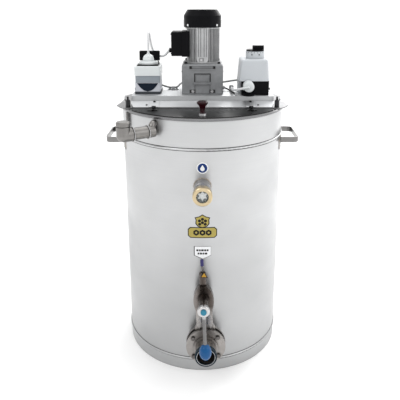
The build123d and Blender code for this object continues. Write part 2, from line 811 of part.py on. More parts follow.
def terminal_box():
    cover = block((-94, -62), (-38, 38), (953, 1024))
    cover = fillet(cover.edges().group_by(Axis.X)[0], 3)
    base = block((-62, -40), (-40, 40), (951, 1026)) - post(0, 0, (900, MOTOR_TOP), MOTOR_R + 0.2)
    gland = bar_x((-102, -94), 0, 967, 7) - bar_x((-102, -94), 0, 967, MOTOR_LEAD[0] / 2)
    return cover + base + gland


# Stirrer


def stirrer():
    """The shaft, with three pairs of pitched paddles, each pair a sixth of a turn from the last."""
    body = post(0, 0, (INNER_FLOOR + 2, 866), SHAFT_R)
    for i, height in enumerate(PADDLE_HEIGHTS):
        level = Pos(0, 0, height - 20) * tube(40, 18, SHAFT_R)
        for turn, pitch in ((0, 35), (180, -35)):
            blade = Box(PADDLE_REACH - 14, 4, 60)
            blade = Pos((PADDLE_REACH + 14) / 2, 0, height) * Rot(pitch, 0, 0) * blade
            level += Rot(0, 0, turn) * (blade - post(0, 0, (0, RIM_Z), SHAFT_R + 3))
        body += Rot(0, 0, i * 60 + 30) * level
    return body


# Control boxes


def left_section(z, inset=0.0):
    """One level of the left controller, with rounded corners."""
    level = block(
        (LEFT_X[0] + inset, LEFT_X[1] - inset), (LEFT_Y[0] + inset, LEFT_Y[1] - inset), z
    )
    return fillet(level.edges().filter_by(Axis.Z), 5)


def controller_fascia():
    return left_section((BRIDGE_TOP, 874))


def controller_band():
    return left_section((874, 895), 1)


def controller_cap():
    cap = left_section((895, LEFT_TOP - 3), -1)
    cap = fillet(cap.edges().group_by(Axis.Z)[-1], 3)
    x, y = LEFT_PLUG
    return cap - post(x, y, (905, LEFT_TOP), 27)


def controller_socket():
    """The socket's frame on the cap, its well, and the lugs of the flap's hinge."""
    x, y = LEFT_PLUG
    frame = block((x - 32, x + 32), (y - 34, y + 34), (LEFT_TOP - 3, LEFT_TOP))
    frame += post(x, y, (905, LEFT_TOP - 3), 27)
    frame -= post(x, y, (910, LEFT_TOP), 25.4)
    for side in (-1, 1):
        frame += block((x + side * 26 - 3, x + side * 26 + 3), (y + 34, y + 41), (LEFT_TOP - 3, LEFT_TOP + 5))
    return frame - bar_x((x - 32, x + 32), y + 38, LEFT_TOP + 1.5, 1.5 + RUNNING_GAP)


def left_socket_flap():
    x, y = LEFT_PLUG
    hinge = (y + 38, LEFT_TOP + 1.5)
    plate = block((x - 32, x + 32), (hinge[0] - 2, hinge[0] + 2), (LEFT_TOP + 6, LEFT_TOP + 36))
    plate = fillet(plate.edges().filter_by(Axis.Y), 3)
    arm = block((x - 20, x + 20), (hinge[0] - 2, hinge[0] + 2), (LEFT_TOP + 0.5, LEFT_TOP + 8))
    flap = plate + arm + bar_x((x - 29, x + 29), hinge[0], hinge[1], 1.5)
    return flap.rotate(Axis((x, hinge[0], hinge[1]), (1, 0, 0)), -FLAP_LEAN)


def motor_plug():
    x, y = LEFT_PLUG
    plug = Pos(x, y, 912) * turned(
        (0, 0), (23, 0), (25, 6), (25, 15.3), (29, 15.3), (29, 21), (27, 23.5), (17, 24.5),
        (16.8, 31), (14.5, 38), (9, 43), (5, 44.5), (4.5, 48), (0, 48)
    )
    return plug


def heater_socket():
    """The front of the right box's lower part, with its socket."""
    front = RIGHT_Y[0]
    base = block(RIGHT_X, (front, SOCKET_BACK_Y), (BRIDGE_TOP, SOCKET_BASE_TOP))
    base = fillet(base.edges().filter_by(Axis.Z).group_by(Axis.Y)[0], 3)
    base -= bar_y(RIGHT_PLUG_X, (front, front + 8), RIGHT_PLUG_Z, 9)
    for side in (-1, 1):
        spot = RIGHT_PLUG_X + side * 9
        base += block((spot - 2, spot + 2), (front - 6, front), (848, 853))
    return base - bar_x((RIGHT_PLUG_X - 12, RIGHT_PLUG_X + 12), front - 3.5, 850.5, 1 + RUNNING_GAP)


def heater_cover():
    """The right box's housing: drafted upper sides, a foot behind the socket, and the switch's collar."""
    low = Rectangle(RIGHT_X[1] - RIGHT_X[0] + 8, RIGHT_Y[1] - RIGHT_Y[0])
    high = Rectangle(RIGHT_X[1] - RIGHT_X[0] - 2, RIGHT_Y[1] - RIGHT_Y[0] - 8)
    x, y = (RIGHT_X[0] + RIGHT_X[1] - 8) / 2, (RIGHT_Y[0] + RIGHT_Y[1]) / 2
    cover = loft([Pos(x, y, SOCKET_BASE_TOP) * low, Pos(x, y, RIGHT_TOP) * high])
    cover = fillet(cover.edges().group_by(Axis.Z)[1:], 7)
    foot = block((RIGHT_X[0] - 8, RIGHT_X[1]), (SOCKET_BACK_Y, RIGHT_Y[1]), (BRIDGE_TOP, SOCKET_BASE_TOP))
    cover += fillet(foot.edges().filter_by(Axis.Z).group_by(Axis.Y)[-1], 3)
    return cover + post(SWITCH_X, SWITCH_Y, (RIGHT_TOP, RIGHT_TOP + 21), 28)


def heater_plug():
    front = RIGHT_Y[0]
    plug = turned((0, -6), (8, -6), (8, 0), (15.8, 0), (15.8, 33), (14.5, 37), (10, 38.5), (0, 38.5))
    plug = Pos(RIGHT_PLUG_X, front, RIGHT_PLUG_Z) * Rot(90, 0, 0) * plug
    start, second = HEATER_LEAD[1][0], HEATER_LEAD[1][1]
    inward = Vector(*start) - Vector(*second)
    inner = Vector(*start) + inward.normalized() * 17
    return plug + bar_between(start, inner, 4.5) + Pos(*inner) * Sphere(4.5)


def right_socket_flap():
    """The socket's flap, hanging open below the plug."""
    front = RIGHT_Y[0]
    lid = Pos(0, -11, -3) * extrude(Ellipse(20.5, 13), 3) & block((-21, 21), (-24, -4.5), (-3, 0))
    lid += block((-6, 6), (-6, 0), (-3, 0)) + bar_x((-11, 11), 0, 0, 1)
    return Pos(RIGHT_PLUG_X, front - 3.5, 850.5) * Rot(18, 0, 0) * lid


def rotary_switch():
    foot = RIGHT_TOP + 21.3
    disc = post(SWITCH_X, SWITCH_Y, (foot, foot + 4), 26.5)
    grip = block((SWITCH_X - 8, SWITCH_X + 26), (SWITCH_Y - 8, SWITCH_Y + 8), (foot + 4, foot + 16))
    return disc + fillet(grip.edges().filter_by(Axis.Z), 4)


# Leads


def lead(spec):
    """A lead along its route: straight runs joined by arcs as large as the runs allow."""
    diameter, route = spec
    points = [Vector(*p) for p in route]
    radii = []
    for before, corner, after in zip(points, points[1:], points[2:]):
        turn = (corner - before).get_angle(after - corner)
        shorter = min((corner - before).length, (after - corner).length)
        radii.append(0.45 * shorter / math.tan(math.radians(turn / 2)))
    path = FilletPolyline(*points, radius=radii)
    solid = sweep(Plane(origin=path @ 0, z_dir=path % 0) * Circle(diameter / 2), path=path)
    section = math.pi * diameter**2 / 4
    print(
        f"lead {diameter} mm: length {path.length:.0f}, smallest radius {min(radii):.0f},",
        f"volume over section times length {solid.volume / (section * path.length):.3f}",
    )
    return solid


def cord_clip():
    """The saddle clip that holds the link lead on the bridge, and its two screws."""
    diameter, route = LINK_LEAD
    y, z = route[1][1], route[1][2]
    band = bar_x((CLIP_X - 5, CLIP_X + 5), y, z, diameter / 2 + 1.5)
    band += block((CLIP_X - 16, CLIP_X + 16), (y - 5, y + 5), (BRIDGE_TOP, BRIDGE_TOP + 2))
    band += block((CLIP_X - 5, CLIP_X + 5), (y - 4, y + 4), (BRIDGE_TOP, z))
    for x in (CLIP_X - 11, CLIP_X + 11):
        band += post(x, y, (BRIDGE_TOP + 2, BRIDGE_TOP + 5), 3.5)
    return band - bar_x((CLIP_X - 5, CLIP_X + 5), y, z, diameter / 2)


def cord_fittings():
    """The link lead's clip, the clamps where leads go through the bridge, and the gearbox's gland."""
    ends = []
    for diameter, route in (HEATER_LEAD, THERMOSTAT_LEAD):
        x, y, z = route[-1]
        along = 1 if y > 0 else -1
        reach = sorted((y, y + along * (diameter + 1)))
        clamp = block((x - diameter, x + diameter), reach, (BRIDGE_TOP, z + diameter))
        ends.append(fillet(clamp.edges().filter_by(Axis.Y).group_by(Axis.Z)[-1], diameter * 0.6))
    side = bar_x((BOX_HALF, THERMOSTAT_LEAD[1][0][0]), 12, 849, 6)
    return Compound(children=[cord_clip(), *ends, side])


def leaned(make):
    """Builds one of the valve's upright pieces and leans it with the valve."""
    outlet = Axis((VALVE_X, 0, VALVE_Z), (0, 1, 0))
    return lambda: Compound(children=[solid.rotate(outlet, -VALVE_LEAN) for solid in make().solids()])


PARTS = {
    "base_plate": base_plate,
    "jacket_shell": jacket_shell,
    "inner_tank": inner_tank,
    "rim_ring": rim_ring,
    "heating_element": heating_element,
    "bottom_bearing": bottom_bearing,
    "right_handle": lambda: handle(1),
    "left_handle": lambda: handle(-1),
    "sight_coupling": sight_coupling,
    "sight_ring": sight_ring,
    "sight_glass": sight_glass,
    "sight_reflector": sight_reflector,
    "filler_pipe": filler_pipe,
    "filler_elbow": filler_elbow,
    "filler_plug": filler_plug,
    "vent_pipe": vent_pipe,
    "valve_wall_flange": leaned(valve_wall_flange),
    "valve_body": leaned(valve_body),
    "outlet_nozzle": leaned(outlet_nozzle),
    "outlet_ring": outlet_ring,
    "valve_bolts": leaned(valve_bolts),
    "gate": leaned(gate),
    "stem_grip": leaned(stem_grip),
    "spindle": leaned(spindle),
    "lever": leaned(lever),
    "lever_knob": leaned(lever_knob),
    "hub_cap": leaned(hub_cap),
    "bridge": bridge,
    "bridge_base_plate": bridge_base_plate,
    "bridge_studs": bridge_studs,
    "bridge_leaves": bridge_leaves,
    "front_lid": front_lid,
    "rear_lid": lambda: mirrored_to_rear(front_lid()),
    "front_lid_knob": front_lid_knob,
    "rear_lid_knob": lambda: mirrored_to_rear(front_lid_knob()),
    "gearbox_housing": gearbox_housing,
    "output_gear": output_gear,
    "idler_gear": idler_gear,
    "motor_housing": motor_housing,
    "rotor": rotor,
    "fan": fan,
    "fan_cover": fan_cover,
    "terminal_box": terminal_box,
    "stirrer": stirrer,
    "controller_fascia": controller_fascia,
    "controller_band": controller_band,
    "controller_cap": controller_cap,
    "controller_socket": controller_socket,
    "left_socket_flap": left_socket_flap,
    "motor_plug": motor_plug,
    "heater_socket": heater_socket,
    "heater_cover": heater_cover,
    "heater_plug": heater_plug,
    "right_socket_flap": right_socket_flap,
    "rotary_switch": rotary_switch,
    "motor_lead": lambda: lead(MOTOR_LEAD),
    "link_lead": lambda: lead(LINK_LEAD),
    "heater_lead": lambda: lead(HEATER_LEAD),
    "thermostat_lead": lambda: lead(THERMOSTAT_LEAD),
    "cord_fittings": cord_fittings,
}

if __name__ == "__main__":
    os.makedirs("parts", exist_ok=True)
    for name, make in PARTS.items():
        export_step(make(), f"parts/{name}.step")
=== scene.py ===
import json
import math

import bmesh
import bpy
from mathutils import Matrix, Vector


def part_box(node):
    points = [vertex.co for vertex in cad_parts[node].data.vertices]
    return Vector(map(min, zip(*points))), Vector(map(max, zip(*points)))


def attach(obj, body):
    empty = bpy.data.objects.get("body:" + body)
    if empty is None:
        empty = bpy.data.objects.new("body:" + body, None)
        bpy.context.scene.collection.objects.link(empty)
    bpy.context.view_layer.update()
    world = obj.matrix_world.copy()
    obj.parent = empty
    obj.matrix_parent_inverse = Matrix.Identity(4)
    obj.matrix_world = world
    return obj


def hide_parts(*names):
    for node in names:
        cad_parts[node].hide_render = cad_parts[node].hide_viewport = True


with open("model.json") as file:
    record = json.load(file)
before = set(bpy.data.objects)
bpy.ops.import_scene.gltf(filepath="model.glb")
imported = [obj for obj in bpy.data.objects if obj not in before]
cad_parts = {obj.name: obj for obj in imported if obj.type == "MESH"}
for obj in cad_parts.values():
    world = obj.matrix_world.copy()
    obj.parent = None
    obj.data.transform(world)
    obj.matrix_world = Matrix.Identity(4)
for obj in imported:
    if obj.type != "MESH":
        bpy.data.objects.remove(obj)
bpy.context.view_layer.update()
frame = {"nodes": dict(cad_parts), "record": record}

# A jacketed honey creaming tank with a geared stirrer: its materials, leads, labels, welds and
# screws, and the studio. Everything is in metres; MM turns the millimetres of small details into
# metres.

MM = 0.001
NODES = frame["nodes"]

JACKET_SHEET = 2 * MM
JACKET_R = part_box("base_plate")[1].x + JACKET_SHEET
BRIDGE_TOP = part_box("bridge")[1].z
FRONT = Vector((0, -1, 0))
UP = Vector((0, 0, 1))
TINY = 1e-7  # vertices nearer than this are one


# Camera


CAMERA_AT = (0, -1.615, 1.115)
CAMERA_PITCH = 16.38  # degrees below level
CAMERA_LENS = 46.5
CAMERA_SENSOR = 36
CAMERA_SHIFT = (-0.0061, -0.12)


def make_camera():
    """The photograph's viewpoint: above the rim, close to the front."""
    data = bpy.data.cameras.new("view")
    camera = bpy.data.objects.new("view", data)
    bpy.context.scene.collection.objects.link(camera)
    camera.location = CAMERA_AT
    camera.rotation_euler = (math.pi / 2 - math.radians(CAMERA_PITCH), 0, 0)
    data.lens = CAMERA_LENS
    data.sensor_width = CAMERA_SENSOR
    data.shift_x, data.shift_y = CAMERA_SHIFT
    bpy.context.scene.camera = camera


# Node materials


MIX_A, MIX_B, MIX_RESULT = 6, 7, 2  # the colour sockets of a Mix node
MIN_ROUGH = 0.03


def map_range(node, start, end, low, high):
    """Sets a Map Range node to map start..end to low..high."""
    names = ("From Min", "From Max", "To Min", "To Max")
    for name, number in zip(names, (start, end, low, high)):
        node.inputs[name].default_value = number


class Shader:
    """A material's node tree, with a Principled shader and a few helpers."""

    def __init__(self, name, color, rough, metallic=0.0):
        self.material = bpy.data.materials.new(name)
        self.material.use_nodes = True
        self.tree = self.material.node_tree
        self.bsdf = self.tree.nodes["Principled BSDF"]
        self.color = color
        self.bsdf.inputs["Base Color"].default_value = (*color, 1)
        self.bsdf.inputs["Roughness"].default_value = rough
        self.bsdf.inputs["Metallic"].default_value = metallic
        self.rough = rough
        self.height = None

    def add(self, kind, **values):
        """A new node; values are its properties or, with _ for a blank, its inputs."""
        node = self.tree.nodes.new(kind)
        for key, value in values.items():
            if hasattr(node, key):
                setattr(node, key, value)
            else:
                node.inputs[key.replace("_", " ")].default_value = value
        return node

    def join(self, output, target):
        self.tree.links.new(output, target)

    def noise(self, scale, stretch=(1, 1, 1), detail=4.0, rough=0.55):
        """Noise over the object's own coordinates, finer along an axis with a large stretch."""
        place = self.add("ShaderNodeTexCoord")
        mapping = self.add("ShaderNodeMapping")
        mapping.inputs["Scale"].default_value = stretch
        noise = self.add("ShaderNodeTexNoise", Scale=scale, Detail=detail, Roughness=rough)
        self.join(place.outputs["Object"], mapping.inputs["Vector"])
        self.join(mapping.outputs["Vector"], noise.inputs["Vector"])
        return noise.outputs["Fac"]

    def coordinate(self, axis):
        """The object's own X, Y or Z, in metres."""
        place = self.add("ShaderNodeTexCoord")
        split = self.add("ShaderNodeSeparateXYZ")
        self.join(place.outputs["Object"], split.inputs["Vector"])
        return split.outputs[axis]

    def ranged(self, value, low, high, start=0.3, end=0.7):
        """A value mapped from start..end, by default a noise's usual span, to low..high."""
        node = self.add("ShaderNodeMapRange")
        map_range(node, start, end, low, high)
        self.join(value, node.inputs["Value"])
        return node.outputs["Result"]

    def blend_base(self, share, other):
        """Mixes the base colour towards another by a share."""
        mix = self.add("ShaderNodeMix", data_type="RGBA")
        self.join(share, mix.inputs["Factor"])
        source = self.bsdf.inputs["Base Color"]
        if source.links:
            self.join(source.links[0].from_socket, mix.inputs[MIX_A])
        else:
            mix.inputs[MIX_A].default_value = (*self.color, 1)
        mix.inputs[MIX_B].default_value = (*other, 1)
        self.join(mix.outputs[MIX_RESULT], source)

    def tint(self, value, other, low=0.0, high=1.0):
        """Mixes the base colour towards another where a noise is high."""
        self.blend_base(self.ranged(value, low, high), other)

    def tint_between(self, value, other, start, end):
        """Mixes the base colour towards another as a value goes from start to end."""
        self.blend_base(self.ranged(value, 0.0, 1.0, start, end), other)

    def vary_rough(self, value, spread):
        """Lets the roughness follow a noise, by a spread to either side."""
        low, high = max(self.rough - spread, MIN_ROUGH), min(self.rough + spread, 1)
        self.join(self.ranged(value, low, high), self.bsdf.inputs["Roughness"])

    def bump(self, value, strength, distance):
        """Adds a bump on top of those before it."""
        node = self.add("ShaderNodeBump", Strength=strength, Distance=distance)
        self.join(value, node.inputs["Height"])
        if self.height is not None:
            self.join(self.height, node.inputs["Normal"])
        self.height = node.outputs["Normal"]
        self.join(self.height, self.bsdf.inputs["Normal"])

    def crevice(self, color, distance=0.006, amount=0.6):
        """Painted shade: darkens the base colour towards a colour where surfaces meet, by ambient
        occlusion.
        """
        shade = self.add("ShaderNodeAmbientOcclusion", samples=6, Distance=distance)
        closed, open_to_air = 0.35, 0.95
        grime = self.ranged(shade.outputs["AO"], amount, 0.0, closed, open_to_air)
        self.blend_base(grime, color)


def darker(color, share):
    return tuple(c * share for c in color)


def steel_sheet(name, color, rough, lines, stretch, bump=0.04, wave=0.0, duller=None):
    """Sheet metal brushed along one way: fine lines, a slow ripple and faint wipe marks.

    The last argument, (share, top, bottom), is painted shade: the colour falls to that share from a
    height to another."""
    s = Shader(name, color, rough, metallic=1.0)
    fine = s.noise(lines, stretch, detail=3.0)
    cloudy = s.noise(6.0, (1, 1, 1.6), detail=5.0)
    s.tint(fine, darker(color, 0.93))
    s.tint(cloudy, darker(color, 0.95))
    # painted shade: the colour darker from one height down to another
    if duller:
        s.tint_between(s.coordinate("Z"), darker(color, duller[0]), duller[1], duller[2])
    s.vary_rough(cloudy, rough * 0.25)
    s.bump(fine, bump, 0.0004)
    if wave:
        s.bump(s.noise(3.2, (1, 1, 0.5), detail=1.0), wave, 0.004)
    # painted shade where surfaces meet
    s.crevice(darker(color, 0.35))
    return s.material


def lid_sheet(name):
    """Steel sheet whose near-black colour is a painted reflection of a dark room: its grazing
    reflection is held down as well.
    """
    material = steel_sheet(name, (0.030, 0.030, 0.030), 0.28, 2.0, (3, 400, 400), 0.02, 0.04)
    bsdf = material.node_tree.nodes["Principled BSDF"]
    bsdf.inputs["Specular Tint"].default_value = (0.75, 0.75, 0.75, 1)
    return material


def bonnet_casting(name):
    """The valve's bonnet: a dark brown casting, with painted highlights that lighten it at its
    edges and towards the flange.
    """
    color = (0.105, 0.088, 0.078)
    s = Shader(name, color, 0.28, metallic=1.0)
    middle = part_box("valve_body")
    across = s.add("ShaderNodeMath", operation="ABSOLUTE")
    offset = s.add("ShaderNodeMath", operation="SUBTRACT")
    s.join(s.coordinate("X"), offset.inputs[0])
    offset.inputs[1].default_value = (middle[0].x + middle[1].x) / 2
    s.join(offset.outputs["Value"], across.inputs[0])
    stains = s.noise(90.0, (1, 1, 0.4), detail=7.0, rough=0.7)
    s.tint(stains, (0.040, 0.032, 0.030), -0.2, 0.75)
    # painted highlight: lighter towards the bonnet's edges
    edge_starts, edge = 0.015, 0.034
    s.tint_between(across.outputs["Value"], (0.23, 0.21, 0.20), edge_starts, edge)
    # painted highlight: lighter towards the flange
    brown_ends, bright_starts = 0.262, 0.225
    s.tint_between(s.coordinate("Z"), (0.36, 0.34, 0.325), brown_ends, bright_starts)
    s.vary_rough(s.noise(40.0, detail=5.0), 0.10)
    s.bump(s.noise(260.0, detail=4.0), 0.16, 0.0005)
    # painted shade where surfaces meet
    s.crevice((0.02, 0.017, 0.015), 0.008, 0.8)
    return s.material


def cast_metal(name, color, rough, metallic=1.0, grain=420.0, bump=0.25, worn=None):
    """A sand-blasted or die-cast surface: grainy, with blotches and worn patches."""
    s = Shader(name, color, rough, metallic)
    grainy = s.noise(grain, detail=3.0)
    blotch = s.noise(28.0, detail=6.0, rough=0.65)
    s.tint(blotch, darker(color, 0.78))
    if worn:
        s.tint(s.noise(60.0, detail=8.0, rough=0.7), worn, -0.9, 0.55)
    s.vary_rough(blotch, rough * 0.22)
    s.bump(grainy, bump, 0.0005)
    # painted shade where surfaces meet
    s.crevice(darker(color, 0.25), 0.008, 0.7)
    return s.material


def moulded(name, color, rough, grain=900.0, bump=0.06, dust=None, coat=0.0, specular=0.5):
    """Moulded plastic: a fine spark-eroded grain, uneven gloss and a little dust."""
    s = Shader(name, color, rough)
    grainy = s.noise(grain, detail=2.0)
    cloudy = s.noise(18.0, detail=5.0)
    s.tint(cloudy, dust or darker(color, 0.86), 0.0, 0.5)
    s.vary_rough(cloudy, rough * 0.25)
    s.bump(grainy, bump, 0.0003)
    s.bsdf.inputs["Coat Weight"].default_value = coat
    s.bsdf.inputs["Specular IOR Level"].default_value = specular
    # painted shade where surfaces meet
    s.crevice(darker(color, 0.3), 0.005, 0.5)
    return s.material


def printed(name, color, rough=0.38):
    """Printed foil: slightly mottled ink under a thin gloss."""
    s = Shader(name, color, rough)
    s.tint(s.noise(250.0, detail=3.0), darker(color, 0.85), 0.0, 0.6)
    s.vary_rough(s.noise(40.0), 0.08)
    s.bump(s.noise(700.0), 0.03, 0.0002)
    s.bsdf.inputs["Specular IOR Level"].default_value = 0.2
    return s.material


def rubber_sheath(name, color):
    """A PVC cable sheath: faint flow lines and fingerprints."""
    s = Shader(name, color, 0.45)
    s.tint(s.noise(120.0, detail=4.0), darker(color, 0.84), 0.0, 0.6)
    s.vary_rough(s.noise(60.0), 0.12)
    s.bump(s.noise(500.0), 0.05, 0.0002)
    return s.material


def clear_glass(name):
    """A thin clean pane: mostly clear, with a faint bloom that is uneven like its gloss."""
    s = Shader(name, (0.80, 0.86, 0.84), 0.05)
    smears = s.noise(30.0)
    s.vary_rough(smears, 0.03)
    s.join(s.ranged(smears, 0.06, 0.14), s.bsdf.inputs["Alpha"])
    return s.material


def welded(name):
    """A pickled weld bead: ripples and straw to blue heat tint."""
    s = Shader(name, (0.50, 0.47, 0.43), 0.38, metallic=1.0)
    s.tint(s.noise(160.0, detail=2.0), (0.34, 0.27, 0.20), 0.0, 0.8)
    s.vary_rough(s.noise(220.0), 0.1)
    s.bump(s.noise(520.0, detail=1.0), 0.5, 0.0008)
    return s.material


def make_materials():
    """The material of each of the record's slots, and those of the small pieces."""
    return {
        # The jacket's colour is darker lower down: painted shade.
        "brushed_jacket": steel_sheet(
            "brushed_jacket", (0.60, 0.605, 0.61), 0.39, 2.0, (2, 2, 240), 0.03, 0.03,
            duller=(0.73, 0.68, 0.28),
        ),
        "inner_steel": steel_sheet("inner_steel", (0.52, 0.52, 0.53), 0.32, 2.0, (2, 2, 700)),
        "polished_steel": steel_sheet(
            "polished_steel", (0.55, 0.55, 0.56), 0.18, 3.0, (60, 60, 60), 0.02
        ),
        "bridge_steel": steel_sheet(
            "bridge_steel", (0.66, 0.67, 0.68), 0.50, 2.0, (3, 500, 500), 0.05, 0.02
        ),
        "rim_steel": steel_sheet("rim_steel", (0.24, 0.24, 0.245), 0.22, 3.0, (60, 60, 60), 0.02),
        "plate_steel": steel_sheet(
            "plate_steel", (0.28, 0.28, 0.285), 0.50, 2.0, (3, 400, 400), 0.04
        ),
        # near-black steel: a painted dark reflection
        "lid_steel": lid_sheet("lid_steel"),
        "valve_steel": cast_metal("valve_steel", (0.34, 0.32, 0.305), 0.30, grain=300.0, bump=0.12),
        "bonnet_casting": bonnet_casting("bonnet_casting"),
        "bolt_steel": cast_metal("bolt_steel", (0.15, 0.14, 0.135), 0.26, grain=500.0, bump=0.10),
        # The lever's rod, below its hub, is darker than the hub: painted shade.
        "lever_steel": steel_sheet(
            "lever_steel", (0.56, 0.55, 0.55), 0.17, 3.0, (60, 60, 20), 0.02,
            duller=(0.30, 0.272, 0.262),
        ),
        "pipe_steel": cast_metal("pipe_steel", (0.27, 0.26, 0.25), 0.32, grain=360.0, bump=0.15),
        "dark_fastener": cast_metal(
            "dark_fastener", (0.045, 0.045, 0.048), 0.42, grain=600.0, bump=0.15
        ),
        # a lighter copy of the pipe's cast steel for the level window's coupling: painted light
        "coupling_steel": cast_metal(
            "coupling_steel", (0.44, 0.43, 0.43), 0.30, grain=360.0, bump=0.12
        ),
        "handle_steel": steel_sheet("handle_steel", (0.25, 0.245, 0.24), 0.30, 4.0, (30, 30, 200)),
        "brass_ring": cast_metal(
            "brass_ring", (0.64, 0.52, 0.33), 0.30, grain=500.0, bump=0.08, worn=(0.76, 0.66, 0.48)
        ),
        "sight_glass": clear_glass("sight_glass"),
        "reflector_black": moulded("reflector_black", (0.012, 0.012, 0.014), 0.35, specular=0.2),
        "copper_heater": cast_metal("copper_heater", (0.12, 0.12, 0.13), 0.5),
        "white_bush": moulded("white_bush", (0.78, 0.77, 0.74), 0.45),
        "dark_ring": moulded(
            "dark_ring", (0.005, 0.014, 0.022), 0.34, dust=(0.010, 0.026, 0.038), specular=0.12
        ),
        "blue_knob": moulded("blue_knob", (0.006, 0.078, 0.225), 0.22, bump=0.02, specular=0.22),
        "blue_cap": moulded("blue_cap", (0.035, 0.20, 0.30), 0.30, bump=0.02, specular=0.2),
        "purple_grip": moulded("purple_grip", (0.035, 0.032, 0.12), 0.42, specular=0.2),
        "burgundy_knob": moulded(
            "burgundy_knob", (0.016, 0.001, 0.003), 0.18, bump=0.02, specular=0.16
        ),
        "gearbox_grey": cast_metal("gearbox_grey", (0.26, 0.267, 0.275), 0.50, 0.5, 340.0, 0.6),
        "motor_aluminium": cast_metal(
            "motor_aluminium", (0.50, 0.505, 0.51), 0.48, 0.3, 420.0, 0.25
        ),
        "gear_steel": cast_metal("gear_steel", (0.30, 0.30, 0.31), 0.35, grain=700.0, bump=0.08),
        "motor_core": cast_metal("motor_core", (0.20, 0.19, 0.18), 0.4, grain=700.0, bump=0.08),
        "black_cover": moulded(
            "black_cover", (0.004, 0.004, 0.005), 0.34, 700.0, 0.15,
            dust=(0.008, 0.008, 0.009), specular=0.06,
        ),
        "black_plastic": moulded(
            "black_plastic", (0.004, 0.004, 0.005), 0.42, dust=(0.008, 0.008, 0.009), specular=0.06
        ),
        "white_plastic": moulded(
            "white_plastic", (0.68, 0.71, 0.715), 0.32, bump=0.03, specular=0.4
        ),
        "fascia_grey": moulded("fascia_grey", (0.50, 0.515, 0.56), 0.40, specular=0.3),
        "band_grey": moulded("band_grey", (0.27, 0.30, 0.33), 0.42, specular=0.3),
        "light_grey": moulded("light_grey", (0.52, 0.545, 0.57), 0.42, 700.0, 0.10, specular=0.4),
        "cord_grey": rubber_sheath("cord_grey", (0.30, 0.31, 0.31)),
        "cord_white": rubber_sheath("cord_white", (0.70, 0.71, 0.72)),
        "cord_black": rubber_sheath("cord_black", (0.03, 0.03, 0.032)),
        "fitting_grey": moulded("fitting_grey", (0.46, 0.47, 0.48), 0.4, specular=0.4),
        "weld": welded("weld"),
        "screw": cast_metal("screw", (0.55, 0.55, 0.56), 0.25, grain=800.0, bump=0.06),
        # dark grey rubber, partly painted shade at the controller's foot
        "gasket_and_shade_grey": moulded("gasket_and_shade_grey", (0.045, 0.050, 0.058), 0.5, specular=0.2),
        # dark plates and rings that stand for shade: painted shade
        "shade_dark": cast_metal("shade_dark", (0.10, 0.10, 0.10), 0.5, grain=500.0, bump=0.1),
        "navy_window": moulded(
            "navy_window", (0.003, 0.009, 0.020), 0.16, bump=0.01, specular=0.12
        ),
        "mark_white": printed("mark_white", (0.84, 0.85, 0.86)),
        "mark_blue": printed("mark_blue", (0.008, 0.034, 0.15)),
        "mark_gold": printed("mark_gold", (0.40, 0.325, 0.085)),
        "mark_amber": printed("mark_amber", (0.45, 0.25, 0.03)),
        "mark_black": printed("mark_black", (0.008, 0.007, 0.006)),
    }


# Nodes whose material differs from that of the others in their slot; the gate's dark steel is
# painted shade and the level window coupling's lighter steel is painted light
OWN_FINISH = {
    "valve_body": "bonnet_casting",
    "valve_bolts": "bolt_steel",
    "lever": "lever_steel",
    # the gate is dark so that it reads as the shade inside the bore: painted shade
    "gate": "bolt_steel",
    # a lighter copy of the pipe's cast steel: painted light
    "sight_coupling": "coupling_steel",
    "rim_ring": "rim_steel",
    "bridge_base_plate": "plate_steel",
}


def dress_nodes():
    """Gives each CAD node the material of its slot, or its own."""
    for entry in frame["record"]["subparts"]:
        name = entry["node"]
        node = NODES[name]
        node.data.materials.clear()
        node.data.materials.append(MATERIALS[OWN_FINISH.get(name, entry["material_slot"])])


# Mesh helpers


def piece(name, mesh, material, body):
    """A new visible piece that rides on a body."""
    made = bpy.data.objects.new(name, mesh)
    bpy.context.scene.collection.objects.link(made)
    mesh.materials.append(MATERIALS[material])
    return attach(made, body)


def finish_mesh(name, bm, smooth_angle=40):
    """A mesh from a bmesh, shaded smooth except at its sharp edges."""
    bmesh.ops.recalc_face_normals(bm, faces=bm.faces)
    for face in bm.faces:
        face.smooth = True
    for edge in bm.edges:
        if len(edge.link_faces) == 2 and edge.calc_face_angle(0) > math.radians(smooth_angle):
            edge.smooth = False
    mesh = bpy.data.meshes.new(name)
    bm.to_mesh(mesh)
    bm.free()
    return mesh


def turned_into(bm, profile, place, around=32):
    """Adds a closed solid of revolution of (radius, height) points about Z, moved by place."""
    rings = []
    for radius, height in profile:
        if radius < TINY:
            rings.append([bm.verts.new(place @ Vector((0, 0, height)))])
            continue
        ring = []
        for i in range(around):
            a = 2 * math.pi * i / around
            spot = Vector((radius * math.cos(a), radius * math.sin(a), height))
            ring.append(bm.verts.new(place @ spot))
        rings.append(ring)
    for low, high in zip(rings, rings[1:]):
        for i in range(around):
            j = (i + 1) % around
            below = [low[i % len(low)], low[j % len(low)]]
            above = [high[j % len(high)], high[i % len(high)]]
            unique = list(dict.fromkeys(below + above))
            if len(unique) > 2:
                bm.faces.new(unique)


def facing(point, direction):
    """The matrix that puts Z along a direction, at a point."""
    turn = Vector(direction).to_track_quat("Z", "Y").to_matrix().to_4x4()
    return Matrix.Translation(point) @ turn


def on_front(x, y, z):
    """The matrix that puts X across, Y up and Z towards the front, at a point."""
    return Matrix.Translation((x, y, z)) @ Matrix.Rotation(math.pi / 2, 4, "X")


def hoop(centre, axis, radius, count=60):
    """Points round a circle about an axis."""
    place = facing(Vector(centre), axis)
    turns = [2 * math.pi * i / count for i in range(count)]
    return [place @ Vector((radius * math.cos(a), radius * math.sin(a), 0)) for a in turns]


